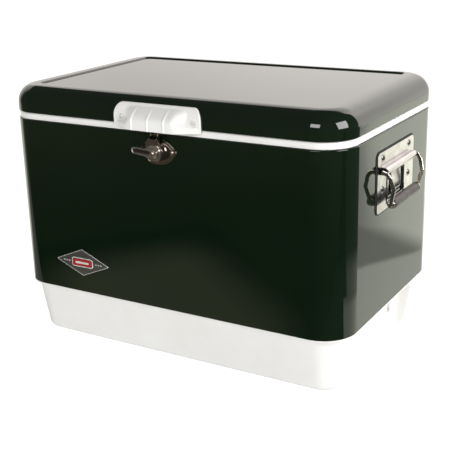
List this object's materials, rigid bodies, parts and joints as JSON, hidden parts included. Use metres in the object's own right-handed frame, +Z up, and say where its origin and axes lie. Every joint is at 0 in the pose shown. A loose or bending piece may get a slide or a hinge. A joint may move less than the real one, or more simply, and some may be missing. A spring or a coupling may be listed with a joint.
{
  "type": "hard cooler",
  "caption": "Steel-cased hard cooler with a hinged lid, a moulded lid grip over a turn latch, swinging end bails with turning grips, and a capped drain in a tapered base.",
  "frame": {"origin": "centre of the body's flat underside, on the ground", "axes": "+X towards the right end, with the drain, +Y towards the back, with the hinges, +Z up; the latch faces -Y"},
  "size_m": [0.6216, 0.3983, 0.4132],
  "materials": {
    "green_paint": "gloss",
    "white_plastic": "satin",
    "chrome": "polished",
    "grip_plastic": "satin",
    "foam": "matte",
    "black_rubber": "matte",
    "badge_metal": "satin",
    "badge_enamel": "gloss"
  },
  "bodies": {
    "body": {"base_tub": "white_plastic", "outer_case": "green_paint", "inner_liner": "white_plastic", "body_foam": "foam", "drain_spout": "white_plastic", "drain_gasket": "black_rubber", "drain_nut": "white_plastic", "drain_cap_pin": "chrome", "badge_plate": "badge_metal", "badge_centre": "badge_enamel", "latch_plate": "chrome", "latch_pin": "chrome", "latch_screw_left": "chrome", "latch_screw_right": "chrome", "right_handle_plate": "chrome", "right_handle_screw_1": "chrome", "right_handle_screw_2": "chrome", "right_handle_screw_3": "chrome", "right_handle_screw_4": "chrome", "left_handle_plate": "chrome", "left_handle_screw_1": "chrome", "left_handle_screw_2": "chrome", "left_handle_screw_3": "chrome", "left_handle_screw_4": "chrome", "right_hinge_body_leaf": "chrome", "right_hinge_pin": "chrome", "right_hinge_body_screw_1": "chrome", "right_hinge_body_screw_2": "chrome", "left_hinge_body_leaf": "chrome", "left_hinge_pin": "chrome", "left_hinge_body_screw_1": "chrome", "left_hinge_body_screw_2": "chrome"},
    "lid": {"lid_shell": "green_paint", "lid_liner": "white_plastic", "lid_foam": "foam", "lid_handle": "white_plastic", "lid_handle_screw_left": "chrome", "lid_handle_screw_right": "chrome", "latch_strike": "chrome", "strike_rivet_left": "chrome", "strike_rivet_right": "chrome", "right_hinge_lid_leaf": "chrome", "right_hinge_lid_screw_1": "chrome", "right_hinge_lid_screw_2": "chrome", "left_hinge_lid_leaf": "chrome", "left_hinge_lid_screw_1": "chrome", "left_hinge_lid_screw_2": "chrome"},
    "latch": {"latch_rotor": "chrome", "latch_lever": "chrome"},
    "right_bail": {"right_bail": "chrome"},
    "right_grip": {"right_grip": "grip_plastic"},
    "left_bail": {"left_bail": "chrome"},
    "left_grip": {"left_grip": "grip_plastic"},
    "drain_cap": {"drain_cap": "white_plastic"}
  },
  "joints": [
    {"name": "lid_hinge", "type": "hinge", "parent": "body", "child": "lid", "pos_m": [0, 0.1894, 0.3673], "axis": [-1, 0, 0], "range_deg": [0, 100]},
    {"name": "latch_turn", "type": "hinge", "parent": "body", "child": "latch", "pos_m": [0, -0.185, 0.336], "axis": [0, -1, 0], "range_deg": [0, 90]},
    {"name": "right_bail_swing", "type": "hinge", "parent": "body", "child": "right_bail", "pos_m": [0.2939, 0, 0.308], "axis": [0, -1, 0], "range_deg": [0, 90]},
    {"name": "right_grip_spin", "type": "hinge", "parent": "right_bail", "child": "right_grip", "pos_m": [0.303, 0, 0.26], "axis": [0, 1, 0], "continuous": true},
    {"name": "left_bail_swing", "type": "hinge", "parent": "body", "child": "left_bail", "pos_m": [-0.2939, 0, 0.308], "axis": [0, 1, 0], "range_deg": [0, 90]},
    {"name": "left_grip_spin", "type": "hinge", "parent": "left_bail", "child": "left_grip", "pos_m": [-0.303, 0, 0.26], "axis": [0, 1, 0], "continuous": true},
    {"name": "drain_cap_swing", "type": "hinge", "parent": "body", "child": "drain_cap", "pos_m": [0.2609, 0.068, 0.0435], "axis": [0, 1, 0], "range_deg": [0, 100]}
  ]
}
